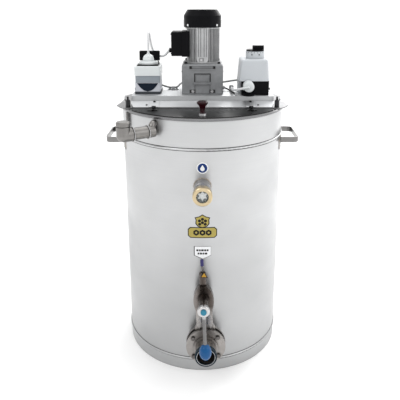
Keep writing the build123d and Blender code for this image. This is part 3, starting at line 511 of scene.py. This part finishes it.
def prism_into(bm, outline, depth, place):
    """Adds a prism over an outline of (x, y) points, from height 0 to depth."""
    low = [bm.verts.new(place @ Vector((x, y, 0))) for x, y in outline]
    high = [bm.verts.new(place @ Vector((x, y, depth))) for x, y in outline]
    bm.faces.new(low[::-1])
    bm.faces.new(high)
    for i in range(len(outline)):
        j = (i + 1) % len(outline)
        bm.faces.new([low[i], low[j], high[j], high[i]])


def rounded(bm, offset, segments):
    """Bevels every edge."""
    bmesh.ops.bevel(bm, geom=bm.edges[:], offset=offset, segments=segments, affect="EDGES")


def ngon(radius, sides, turn=0.0):
    """The corners of a regular polygon."""
    turns = [turn + i * 2 * math.pi / sides for i in range(sides)]
    return [(radius * math.cos(a), radius * math.sin(a)) for a in turns]


def round_screw(bm, place, radius, height):
    """A domed screw head with a round socket."""
    dome = [(0, 0), (1, 0), (1, 0.45), (0.8, 0.85), (0.45, 1)]
    socket = [(0.4, 0.6), (0, 0.6)]
    turned_into(bm, [(r * radius, h * height) for r, h in dome + socket], place, 20)


def hex_head(bm, place, radius, height):
    """A hexagon head on its washer, with a turned face."""
    washer_r, washer = radius * 1.25, height * 0.2
    head, face = height * 0.65, height * 0.8
    turned_into(bm, [(0, 0), (washer_r, 0), (washer_r, washer), (0, washer)], place, 24)
    up = place @ Matrix.Translation((0, 0, washer))
    prism_into(bm, ngon(radius, 6), head, up)
    turned_into(bm, [(0, head), (radius * 0.84, head), (radius * 0.78, face), (0, face)], up, 24)


def screws(name, spots, build, radius, height, material="dark_fastener", body="tank"):
    """A group of like screws, sized in millimetres: spots holds (point, direction)."""
    bm = bmesh.new()
    for point, direction in spots:
        build(bm, facing(Vector(point), direction), radius * MM, height * MM)
    return piece(name, finish_mesh(name, bm), material, body)


def bead_along(name, points, radius, material="weld", body="tank", closed=True):
    """A weld bead: a closed curve with a round section, lightly rippled by its material."""
    curve = bpy.data.curves.new(name, "CURVE")
    curve.dimensions = "3D"
    curve.bevel_depth = radius
    curve.bevel_resolution = 2
    spline = curve.splines.new("POLY")
    spline.points.add(len(points) - 1)
    for spot, p in zip(spline.points, points):
        spot.co = (*p, 1)
    spline.use_cyclic_u = closed
    made = bpy.data.objects.new(name, curve)
    bpy.context.scene.collection.objects.link(made)
    curve.materials.append(MATERIALS[material])
    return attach(made, body)


def on_jacket(x, z, out=0.0):
    """The point of the jacket's front at a place across and a height, moved out from it."""
    radius = JACKET_R + out
    angle = x / JACKET_R
    return Vector((radius * math.sin(angle), -radius * math.cos(angle), z))


# Leads: the routes of their tubes as laid in the CAD


def cord_curve(name, route, diameter, material):
    """A smooth tube along a route."""
    curve = bpy.data.curves.new(name, "CURVE")
    curve.dimensions = "3D"
    curve.bevel_depth = diameter / 2
    curve.bevel_resolution = 5
    curve.use_fill_caps = True
    curve.resolution_u = 16
    spline = curve.splines.new("NURBS")
    spline.points.add(len(route) - 1)
    for spot, p in zip(spline.points, route):
        spot.co = (*p, 1)
    spline.order_u = 3
    spline.use_endpoint_u = True
    made = bpy.data.objects.new(name, curve)
    bpy.context.scene.collection.objects.link(made)
    curve.materials.append(MATERIALS[material])
    return made


MOTOR_LEAD = [
    (-0.166, -0.010, 0.960),
    (-0.166, -0.010, 0.992),
    (-0.1665, 0.006, 1.019),
    (-0.167, 0.036, 1.021),
    (-0.166, 0.053, 0.994),
    (-0.161, 0.057, 0.968),
    (-0.150, 0.054, 0.950),
    (-0.134, 0.042, 0.944),
    (-0.119, 0.024, 0.948),
    (-0.110, 0.009, 0.957),
    (-0.102, 0.000, 0.967),
]
LINK_LEAD = [
    (-0.128, 0.022, 0.856),
    (-0.108, 0.029, 0.847),
    (-0.080, 0.029, 0.847),
    (-0.072, 0.050, 0.856),
    (-0.062, 0.072, 0.857),
    (-0.034, 0.082, 0.856),
    (0.008, 0.083, 0.857),
    (0.046, 0.082, 0.856),
    (0.072, 0.066, 0.859),
    (0.092, 0.046, 0.866),
    (0.110, 0.028, 0.871),
]
HEATER_LEAD = [
    (0.119, -0.106, 0.8655),
    (0.1065, -0.102, 0.8625),
    (0.097, -0.090, 0.859),
    (0.092, -0.072, 0.856),
    (0.090, -0.050, 0.854),
    (0.0895, -0.027, 0.852),
    (0.092, -0.004, 0.849),
    (0.093, 0.015, 0.847),
    (0.093, 0.036, 0.846),
]
THERMOSTAT_LEAD = [
    (0.070, 0.012, 0.849),
    (0.080, 0.006, 0.846),
    (0.086, -0.009, 0.8435),
    (0.091, -0.028, 0.843),
    (0.097, -0.048, 0.843),
    (0.101, -0.065, 0.8435),
    (0.102, -0.078, 0.845),
]


def make_cords():
    """The four leads, each held at both of its ends by the machine."""
    # name, node, route, diameter, length, slot, nodes that go with it
    leads = (
        ("motor_cable", "motor_lead", MOTOR_LEAD, 0.0065, 0.246, "cord_white", ("motor_plug",)),
        ("link_cable", "link_lead", LINK_LEAD, 0.0055, 0.289, "cord_grey", ()),
        ("heater_cable", "heater_lead", HEATER_LEAD, 0.007, 0.156, "cord_white", ("heater_plug",)),
        ("thermostat_cable", "thermostat_lead", THERMOSTAT_LEAD, 0.005, 0.099, "cord_black", ()),
    )
    for name, node, route, diameter, length, slot, with_nodes in leads:
        cable = cord_curve(name, route, diameter, slot)
        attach(cable, "tank")
        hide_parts(node)


# Labels on the front of the jacket: plain shapes and honeycomb cells, with no lettering


DECAL_STRIPS = 16  # the flat strips that follow the jacket's curve
FOIL_GAP = 0.05 * MM
SIGN_Z, CREST_Z, PLATE_Z, NOTE_Z = 0.667, 0.507, 0.471, 0.407
NOTE_ROWS = ((8, (6, 5, 7, 6, 5)), (-2.5, (5, 6, 5, 7)))  # the height and widths of its dashes
DASH_GAP = 1.6
DASH_HALF = 2.9
# How far each layer of foil stands out, in millimetres
EDGE_OUT, FACE_OUT, NOTE_DASH_OUT, CELL_OUT, EYE_OUT = 0.15, 0.30, 0.40, 0.42, 0.54


def decal(name, outline, z, material, out, body="tank"):
    """A thin foil of an outline in millimetres, wrapped on the jacket's front about a height."""
    bm = bmesh.new()
    verts = [bm.verts.new((x * MM, y * MM, 0)) for x, y in outline]
    bm.faces.new(verts)
    left, right = min(x for x, _ in outline) * MM, max(x for x, _ in outline) * MM
    for i in range(1, DECAL_STRIPS):
        cut = left + (right - left) * i / DECAL_STRIPS
        geometry = bm.verts[:] + bm.edges[:] + bm.faces[:]
        bmesh.ops.bisect_plane(
            bm, geom=geometry, dist=TINY, plane_co=(cut, 0, 0), plane_no=(1, 0, 0)
        )
    made = bmesh.ops.extrude_face_region(bm, geom=bm.faces[:])
    for v in made["geom"]:
        if isinstance(v, bmesh.types.BMVert):
            v.co.z = out * MM
    for v in bm.verts:
        v.co = on_jacket(v.co.x, z + v.co.y, v.co.z + FOIL_GAP)
    return piece(name, finish_mesh(name, bm), material, body)


def shifted(outline, dx, dy):
    return [(x + dx, y + dy) for x, y in outline]


def scaled(outline, share):
    return [(x * share, y * share) for x, y in outline]


def labels():
    """The blue sign, the gold crest, the gold plate and the white note."""
    decal("sign_border", ngon(16.5, 40), SIGN_Z, "mark_white", EDGE_OUT)
    decal("sign_disc", ngon(13.6, 40), SIGN_Z, "mark_blue", FACE_OUT)
    drop_r, drop_y = 6.2, -2.5
    round_end = arc_angles(35, -215, 14)
    drop = [(0, 9)]
    drop += [(drop_r * math.cos(a), drop_y + drop_r * math.sin(a)) for a in round_end]
    decal("sign_drop", drop, SIGN_Z, "mark_white", CELL_OUT)
    half = [(0, 21), (10, 14.5), (22.5, 11), (19.5, 3.5), (20.5, -8), (14, -17), (0, -21.5)]
    crest = half + [(-x, y) for x, y in half[-2:0:-1]]
    decal("crest_edge", crest, CREST_Z, "mark_black", EDGE_OUT)
    decal("crest_face", scaled(crest, 0.86), CREST_Z, "mark_gold", FACE_OUT)
    cells = ((0, 6), (-8.5, 1), (8.5, 1), (0, -4.5), (-8, -9.5), (8, -9.5))
    honeycomb("crest_cells", cells, 4.9, 0, CREST_Z)
    decal("plate_edge", chamfered(42.5, 17, 7), PLATE_Z, "mark_black", EDGE_OUT)
    decal("plate_face", chamfered(40, 14.5, 6), PLATE_Z, "mark_gold", FACE_OUT)
    honeycomb("plate_cells", ((-18, 0), (0, 0), (18, 0)), 9.6, 3.4, PLATE_Z)
    note = [(-25, 20.5), (25, 20.5), (25, -9), (0, -20.5), (-25, -9)]
    decal("note_edge", note, NOTE_Z, "mark_black", EDGE_OUT)
    decal("note_face", shifted(scaled(note, 0.94), 0.9, 0.3), NOTE_Z, "mark_white", FACE_OUT)
    for row, (y, widths) in enumerate(NOTE_ROWS):
        x = -(sum(widths) + DASH_GAP * (len(widths) - 1)) / 2
        for i, width in enumerate(widths):
            low, high = y - DASH_HALF, y + DASH_HALF
            dash = [(x, low), (x + width, low), (x + width, high), (x, high)]
            decal(f"note_dash_{row}_{i}", dash, NOTE_Z, "mark_black", NOTE_DASH_OUT)
            x += width + DASH_GAP


def arc_angles(start, end, count):
    """Angles in radians, evenly from one in degrees to another."""
    return [math.radians(start + (end - start) * i / (count - 1)) for i in range(count)]


def chamfered(half_x, half_y, cut):
    """A rectangle with its corners cut off."""
    in_x, in_y = half_x - cut, half_y - cut
    right = [(in_x, -half_y), (half_x, -in_y), (half_x, in_y), (in_x, half_y)]
    return right + [(-x, y) for x, y in reversed(right)]


def honeycomb(name, centres, radius, eye, z):
    """Black cells, each with a gold eye if it has one."""
    for i, (x, y) in enumerate(centres):
        cell = shifted(ngon(radius, 6, math.pi / 6), x, y)
        decal(f"{name}_{i}", cell, z, "mark_black", CELL_OUT)
        if eye:
            centre = shifted(ngon(eye, 6, math.pi / 6), x, y)
            decal(f"{name}_eye_{i}", centre, z, "mark_gold", EYE_OUT)


# Screws, welds and small fittings


def saddle(x, z, radius, count=48):
    """Points around a pipe that meets the jacket's front square on."""
    points = []
    for i in range(count):
        a = 2 * math.pi * i / count
        px, pz = x + radius * math.cos(a), z + radius * math.sin(a)
        points.append((px, -math.sqrt(JACKET_R**2 - px**2), pz))
    return points


def pad_outline(side, y, z):
    """Points around a handle's pad, a rounded rectangle on the jacket."""
    half_y, half_z, squareness, out = 15.6 * MM, 18.6 * MM, 1.25, 0.8 * MM
    outline = []
    for a in arc_angles(0, 360, 41)[:-1]:
        py = y + half_y * max(-1, min(1, squareness * math.cos(a)))
        pz = z + half_z * max(-1, min(1, squareness * math.sin(a)))
        outline.append((side * (math.sqrt(JACKET_R**2 - py**2) + out), py, pz))
    return outline


def welds():
    """Beads around the level window's coupling, the outlet and the handles' pads."""
    low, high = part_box("sight_coupling")
    middle = (low + high) / 2
    radius = (high.x - low.x) / 2 + 0.6 * MM
    bead_along("weld_sight", saddle(middle.x, middle.z, radius), 1.6 * MM)
    low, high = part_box("valve_wall_flange")
    middle = (low + high) / 2
    bead_along("weld_outlet", saddle(middle.x, middle.z, 30.8 * MM), 1.8 * MM)
    pad_inset = 16 * MM
    for side, node in ((1, "right_handle"), (-1, "left_handle")):
        low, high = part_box(node)
        for end, y in (("front", low.y + pad_inset), ("rear", high.y - pad_inset)):
            outline = pad_outline(side, y, (low.z + high.z) / 2)
            bead_along(f"weld_{node}_{end}", outline, 1.0 * MM)


def jacket_seam():
    """The jacket's ground-down weld seam, up the rear."""
    foot, step, waver, sunk = 0.05, 0.03, 0.3 * MM, 0.2 * MM
    points = [
        (waver * math.sin(i * 1.7), JACKET_R - sunk, foot + i * step) for i in range(25)
    ]
    bead_along("jacket_seam", points, 0.9 * MM, closed=False)


def bead_lines():
    """Painted shade: the dark rings where each rolled bead leaves the jacket."""
    for level, z in (("low", 0.042), ("high", 0.719)):
        for side in (-1, 1):
            name = f"bead_line_{level}_{'over' if side > 0 else 'under'}"
            height = z + side * 4.1 * MM
            # painted shade: a dark ring beside the bead
            points = hoop((0, 0, height), UP, JACKET_R, 90)
            bead_along(name, points, 0.75 * MM, "shade_dark")


NIPPLE_FOOT = Vector((-0.1404, -0.2247, 0.766))
NIPPLE_AWAY = Vector((-0.848, -0.530, 0))


def pipe_welds():
    """Bright beads at both ends of the filler's nipple, and round the level window's union."""
    for name, along, radius in (("weld_elbow", 59.5, 20.6), ("weld_neck", 13.5, 18.9)):
        ring = hoop(NIPPLE_FOOT + NIPPLE_AWAY * along * MM, NIPPLE_AWAY, radius * MM)
        bead_along(name, ring, 1.2 * MM, "screw")
    low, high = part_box("sight_coupling")
    centre = (0, low.y + 26 * MM, (low.z + high.z) / 2)
    ring = hoop(centre, FRONT, (high.x - low.x) / 2)
    bead_along("union_line", ring, 1.1 * MM, "screw")


def bridge_screws():
    """Screws by the lid hinges, on the bridge's sloping flanges and the lids, and at their ends."""
    flange, ends = [], []
    for front, lid in ((-1, "front_lid"), (1, "rear_lid")):
        slope = Vector((0, front * 0.39, 0.92))
        on_lid = []
        for side in (-1, 1):
            flange.append(((side * 0.143, front * 0.094, 0.8232), slope))
            on_lid.append(((side * 0.143, front * 0.136, 0.8127), UP))
            ends.append(((side * 0.165, front * 0.108, 0.8169), slope))
        screws(f"{lid}_screws", on_lid, hex_head, 3.6, 3.4, body=lid)
    screws("bridge_screws", ends, round_screw, 2.8, 2.0)
    screws("hinge_screws", flange, hex_head, 3.6, 3.4)


def knob_ferrules():
    """The bright ferrules that the lids' knobs stand on."""
    foot, top, cover = 0.05, 6.0, 0.25
    profile = [(9.3, top + 0.02), (9.3, top + cover), (10 + cover, top + cover), (11 + cover, foot)]
    profile += [(11.02, foot), (10.02, top + 0.02), (9.3, top + 0.02)]
    for lid in ("front_lid", "rear_lid"):
        low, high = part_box(f"{lid}_knob")
        centre = Vector(((low.x + high.x) / 2, (low.y + high.y) / 2, low.z - top * MM))
        bm = bmesh.new()
        turned_into(bm, scaled(profile, MM), Matrix.Translation(centre), 40)
        bmesh.ops.remove_doubles(bm, verts=bm.verts, dist=TINY)
        piece(f"{lid}_ferrule", finish_mesh(f"{lid}_ferrule", bm), "screw", lid)


def rectangle(half_x, half_y):
    """A rectangle's corners, about its middle."""
    return [(-half_x, -half_y), (half_x, -half_y), (half_x, half_y), (-half_x, half_y)]


def gearbox_details():
    """Painted shade as dark plates in the recesses of the box's front, its bolts and screws, and
    ribs on its sides.
    """
    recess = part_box("gearbox_housing")[0].y + 4.5 * MM
    # (middle x, z), (half width, half height) in millimetres
    shaded = [((side * 23.25, 891), (1.75, 13)) for side in (-1, 1)] + [((0, 902.25), (21.5, 1.75))]
    shaded += [((side * 30, 849.75), (9, 5.25)) for side in (-1, 1)]
    shaded += [((side * 35, 921.5), (4, 4.5)) for side in (-1, 1)]
    # painted shade: thin dark plates on the floors of the recesses
    bm = bmesh.new()
    for (x, z), half in shaded:
        outline = scaled(rectangle(*half), MM)
        prism_into(bm, outline, 0.4 * MM, on_front(x * MM, recess, z * MM))
    recesses = finish_mesh("gearbox_recess_shade", bm)
    piece("gearbox_recess_shade", recesses, "shade_dark", "tank")
    spots = [((x, recess, 0.8497), FRONT) for x in (-0.029, 0.029)]
    screws("foot_bolts", spots, hex_head, 3.9, 5, "screw")
    spots = [((x, recess, 0.9215), FRONT) for x in (-0.036, 0.036)]
    screws("gearbox_screws", spots, round_screw, 2.4, 1.6)
    spots = [((x, y, 0.932), UP) for x in (-0.050, 0.050) for y in (-0.050, 0.050)]
    screws("flange_bolts", spots, hex_head, 4.5, 6)
    outline = scaled(((-46, 0), (46, 0), (46, 2.2), (-46, 2.2)), MM)
    bm = bmesh.new()
    for z in (0.872, 0.906):
        for side in (-1, 1):
            prism_into(bm, outline, 1.4 * MM, facing(Vector((side * 0.062, 0, z)), (side, 0, 0)))
    rounded(bm, 0.4 * MM, 2)
    piece("gearbox_ribs", finish_mesh("gearbox_ribs", bm), "gearbox_grey", "tank")


def motor_details():
    """The bolt on the motor's pad, and the screws of its fan cover and terminal box."""
    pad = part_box("motor_housing")[0].y + 2 * MM
    spots = [((-0.003, pad, 0.943), FRONT)]
    screws("pad_bolt", spots, hex_head, 4.4, 4.5, "screw")
    low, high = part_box("fan_cover")
    radius = (high.x - low.x) / 2 - 0.2 * MM
    spots = []
    for turn in (220, 320, 40, 140):
        out = Vector((math.cos(math.radians(turn)), math.sin(math.radians(turn)), 0))
        spots.append((out * radius + Vector((0, 0, low.z + 6.5 * MM)), out))
    screws("cover_screws", spots, round_screw, 3.3, 2.0, "mark_white")
    spots = [((-0.094, y, z), (-1, 0, 0)) for y in (-0.031, 0.031) for z in (0.960, 1.017)]
    screws("terminal_screws", spots, round_screw, 2.6, 1.6)


def controller_details():
    """The display window, a bowl-shaped pane under the band, and the rubber the box stands on,
    whose dark grey is partly painted shade at its foot.
    """
    low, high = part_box("controller_fascia")
    half_width, depth = 31.8, 25
    side = [(half_width * (1 - t / 10) ** 0.5, -depth * t / 10) for t in range(11)]
    outline = side + [(-x, z) for x, z in side[-2::-1]]
    bm = bmesh.new()
    corner = on_front((low.x + high.x) / 2, low.y + 0.02 * MM, high.z - 1.2 * MM)
    prism_into(bm, scaled(outline, MM), 0.8 * MM, corner)
    piece("window", finish_mesh("window", bm), "navy_window", "tank")
    # The rubber strip under the box: its dark grey is partly painted shade.
    bm = bmesh.new()
    lip = 1.2 * MM
    x, y = (low.x - lip, high.x + lip), (low.y - lip, high.y + lip)
    section = [(x[0], y[0]), (x[1], y[0]), (x[1], y[1]), (x[0], y[1])]
    prism_into(bm, section, 7 * MM, Matrix.Translation((0, 0, BRIDGE_TOP + 0.1 * MM)))
    rounded(bm, 1.0 * MM, 2)
    gasket = finish_mesh("controller_gasket_and_shade", bm)
    piece("controller_gasket_and_shade", gasket, "gasket_and_shade_grey", "tank")


def heater_box_details():
    """The two screws of the switch's collar, and the dial's seven dashes."""
    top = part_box("heater_cover")[1].z
    low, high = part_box("rotary_switch")
    centre = Vector(((low.x + high.x) / 2, (low.y + high.y) / 2, 0))
    collar, dial = 0.0275, 0.0281
    spots = [
        ((centre.x + dx, centre.y - collar, top - 9 * MM), FRONT) for dx in (-0.012, 0.010)
    ]
    screws("collar_screws", spots, round_screw, 1.8, 1.2)
    bm = bmesh.new()
    for a in arc_angles(200, 320, 7):
        out = Vector((math.cos(a), math.sin(a), 0))
        spot = centre + out * dial + Vector((0, 0, top - 3 * MM))
        prism_into(bm, scaled(rectangle(0.4, 1.6), MM), 0.3 * MM, facing(spot, out))
    piece("switch_marks", finish_mesh("switch_marks", bm), "mark_black", "tank")


def star_reflector():
    """The white six-pointed star behind the level window's glass."""
    low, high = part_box("sight_reflector")
    middle = (low + high) / 2
    bm = bmesh.new()
    tip, notch = 14.5 * MM, 8.2 * MM
    outline = []
    for i in range(12):
        radius = notch if i % 2 else tip
        a = math.pi * i / 6 + math.pi / 2
        outline.append((radius * math.cos(a), radius * math.sin(a)))
    prism_into(bm, outline, 0.8 * MM, facing(Vector((middle.x, low.y, middle.z)), FRONT))
    piece("star", finish_mesh("star", bm), "mark_white", "tank")


def warning_triangle():
    """A plain gold triangle with a dark edge on the valve's neck."""
    for name, radius, out, material in (
        ("triangle_edge", 12.7, 0.0, "mark_black"),
        ("triangle_face", 8.8, 0.4, "mark_amber"),
    ):
        bm = bmesh.new()
        outline = ngon(radius * MM, 3, math.pi / 2)
        prism_into(bm, outline, 0.5 * MM, on_front(0.0046, -0.3005 - out * MM, 0.361))
        rounded(bm, 0.15 * MM, 1)
        piece(name, finish_mesh(name, bm), material, "tank")


def nozzle_line():
    """The bright steel line inside the outlet's dark ring."""
    low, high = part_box("outlet_ring")
    middle = (low + high) / 2
    bm = bmesh.new()
    profile = scaled(((26.1, 0), (27.2, 0), (27.2, 0.9), (26.1, 0.9), (26.1, 0)), MM)
    turned_into(bm, profile, facing(Vector((middle.x, low.y + 0.05 * MM, middle.z)), FRONT), 64)
    bmesh.ops.remove_doubles(bm, verts=bm.verts, dist=TINY)
    piece("nozzle_line", finish_mesh("nozzle_line", bm), "screw", "tank")


# Studio


FLOOR_HALF = 30.0
FLOOR_DROP = 0.4 * MM
FLOOR_GLOW = 0.10
SKY_TOWARDS = (0.5, 0.866, 0.0)  # where the white surroundings are brightest
SKY_DIM, SKY_BRIGHT = 0.68, 1.30
# name, place, aim, size, power
LIGHTS = (
    ("key", (-1.6, -1.8, 2.6), (0, 0, 0.6), 1.6, 22),
    ("fill", (2.4, -0.8, 1.9), (0, 0, 0.6), 1.8, 16),
    ("top", (0, 0.4, 3.2), (0, 0, 0.6), 2.0, 12),
    ("back", (1.2, 2.4, 2.4), (0.3, 1.2, 0), 2.4, 60),
)


def make_floor():
    mesh = bpy.data.meshes.new("floor")
    corners = [(x, y, -FLOOR_DROP) for x, y in rectangle(FLOOR_HALF, FLOOR_HALF)]
    mesh.from_pydata(corners, [], [(0, 1, 2, 3)])
    floor = bpy.data.objects.new("floor", mesh)
    bpy.context.scene.collection.objects.link(floor)
    s = Shader("floor", (0.93, 0.93, 0.93), 0.7)
    s.bsdf.inputs["Emission Color"].default_value = (1, 1, 1, 1)
    s.bsdf.inputs["Emission Strength"].default_value = FLOOR_GLOW
    mesh.materials.append(s.material)


def make_sky():
    """White surroundings, brighter behind the tank than in front of it."""
    world = bpy.data.worlds.new("studio")
    bpy.context.scene.world = world
    world.use_nodes = True
    tree = world.node_tree
    back = tree.nodes["Background"]
    place = tree.nodes.new("ShaderNodeTexCoord")
    along = tree.nodes.new("ShaderNodeVectorMath")
    along.operation = "DOT_PRODUCT"
    along.inputs[1].default_value = SKY_TOWARDS
    ramp = tree.nodes.new("ShaderNodeMapRange")
    map_range(ramp, -1.0, 1.0, SKY_DIM, SKY_BRIGHT)
    tree.links.new(place.outputs["Generated"], along.inputs[0])
    tree.links.new(along.outputs["Value"], ramp.inputs["Value"])
    tree.links.new(ramp.outputs["Result"], back.inputs["Strength"])
    back.inputs["Color"].default_value = (1, 1, 1, 1)


def make_studio():
    make_floor()
    make_sky()
    for name, place, aim, size, power in LIGHTS:
        light = bpy.data.lights.new(name, "AREA")
        light.energy = power
        light.size = size
        lamp = bpy.data.objects.new(name, light)
        lamp.location = place
        towards = Vector(aim) - Vector(place)
        lamp.rotation_euler = towards.to_track_quat("-Z", "Y").to_euler()
        bpy.context.scene.collection.objects.link(lamp)
    bpy.context.scene.view_settings.view_transform = "Standard"


MATERIALS = make_materials()
make_camera()
make_cords()
dress_nodes()
labels()
welds()
jacket_seam()
bead_lines()
pipe_welds()
bridge_screws()
knob_ferrules()
gearbox_details()
motor_details()
controller_details()
heater_box_details()
star_reflector()
warning_triangle()
nozzle_line()
make_studio()
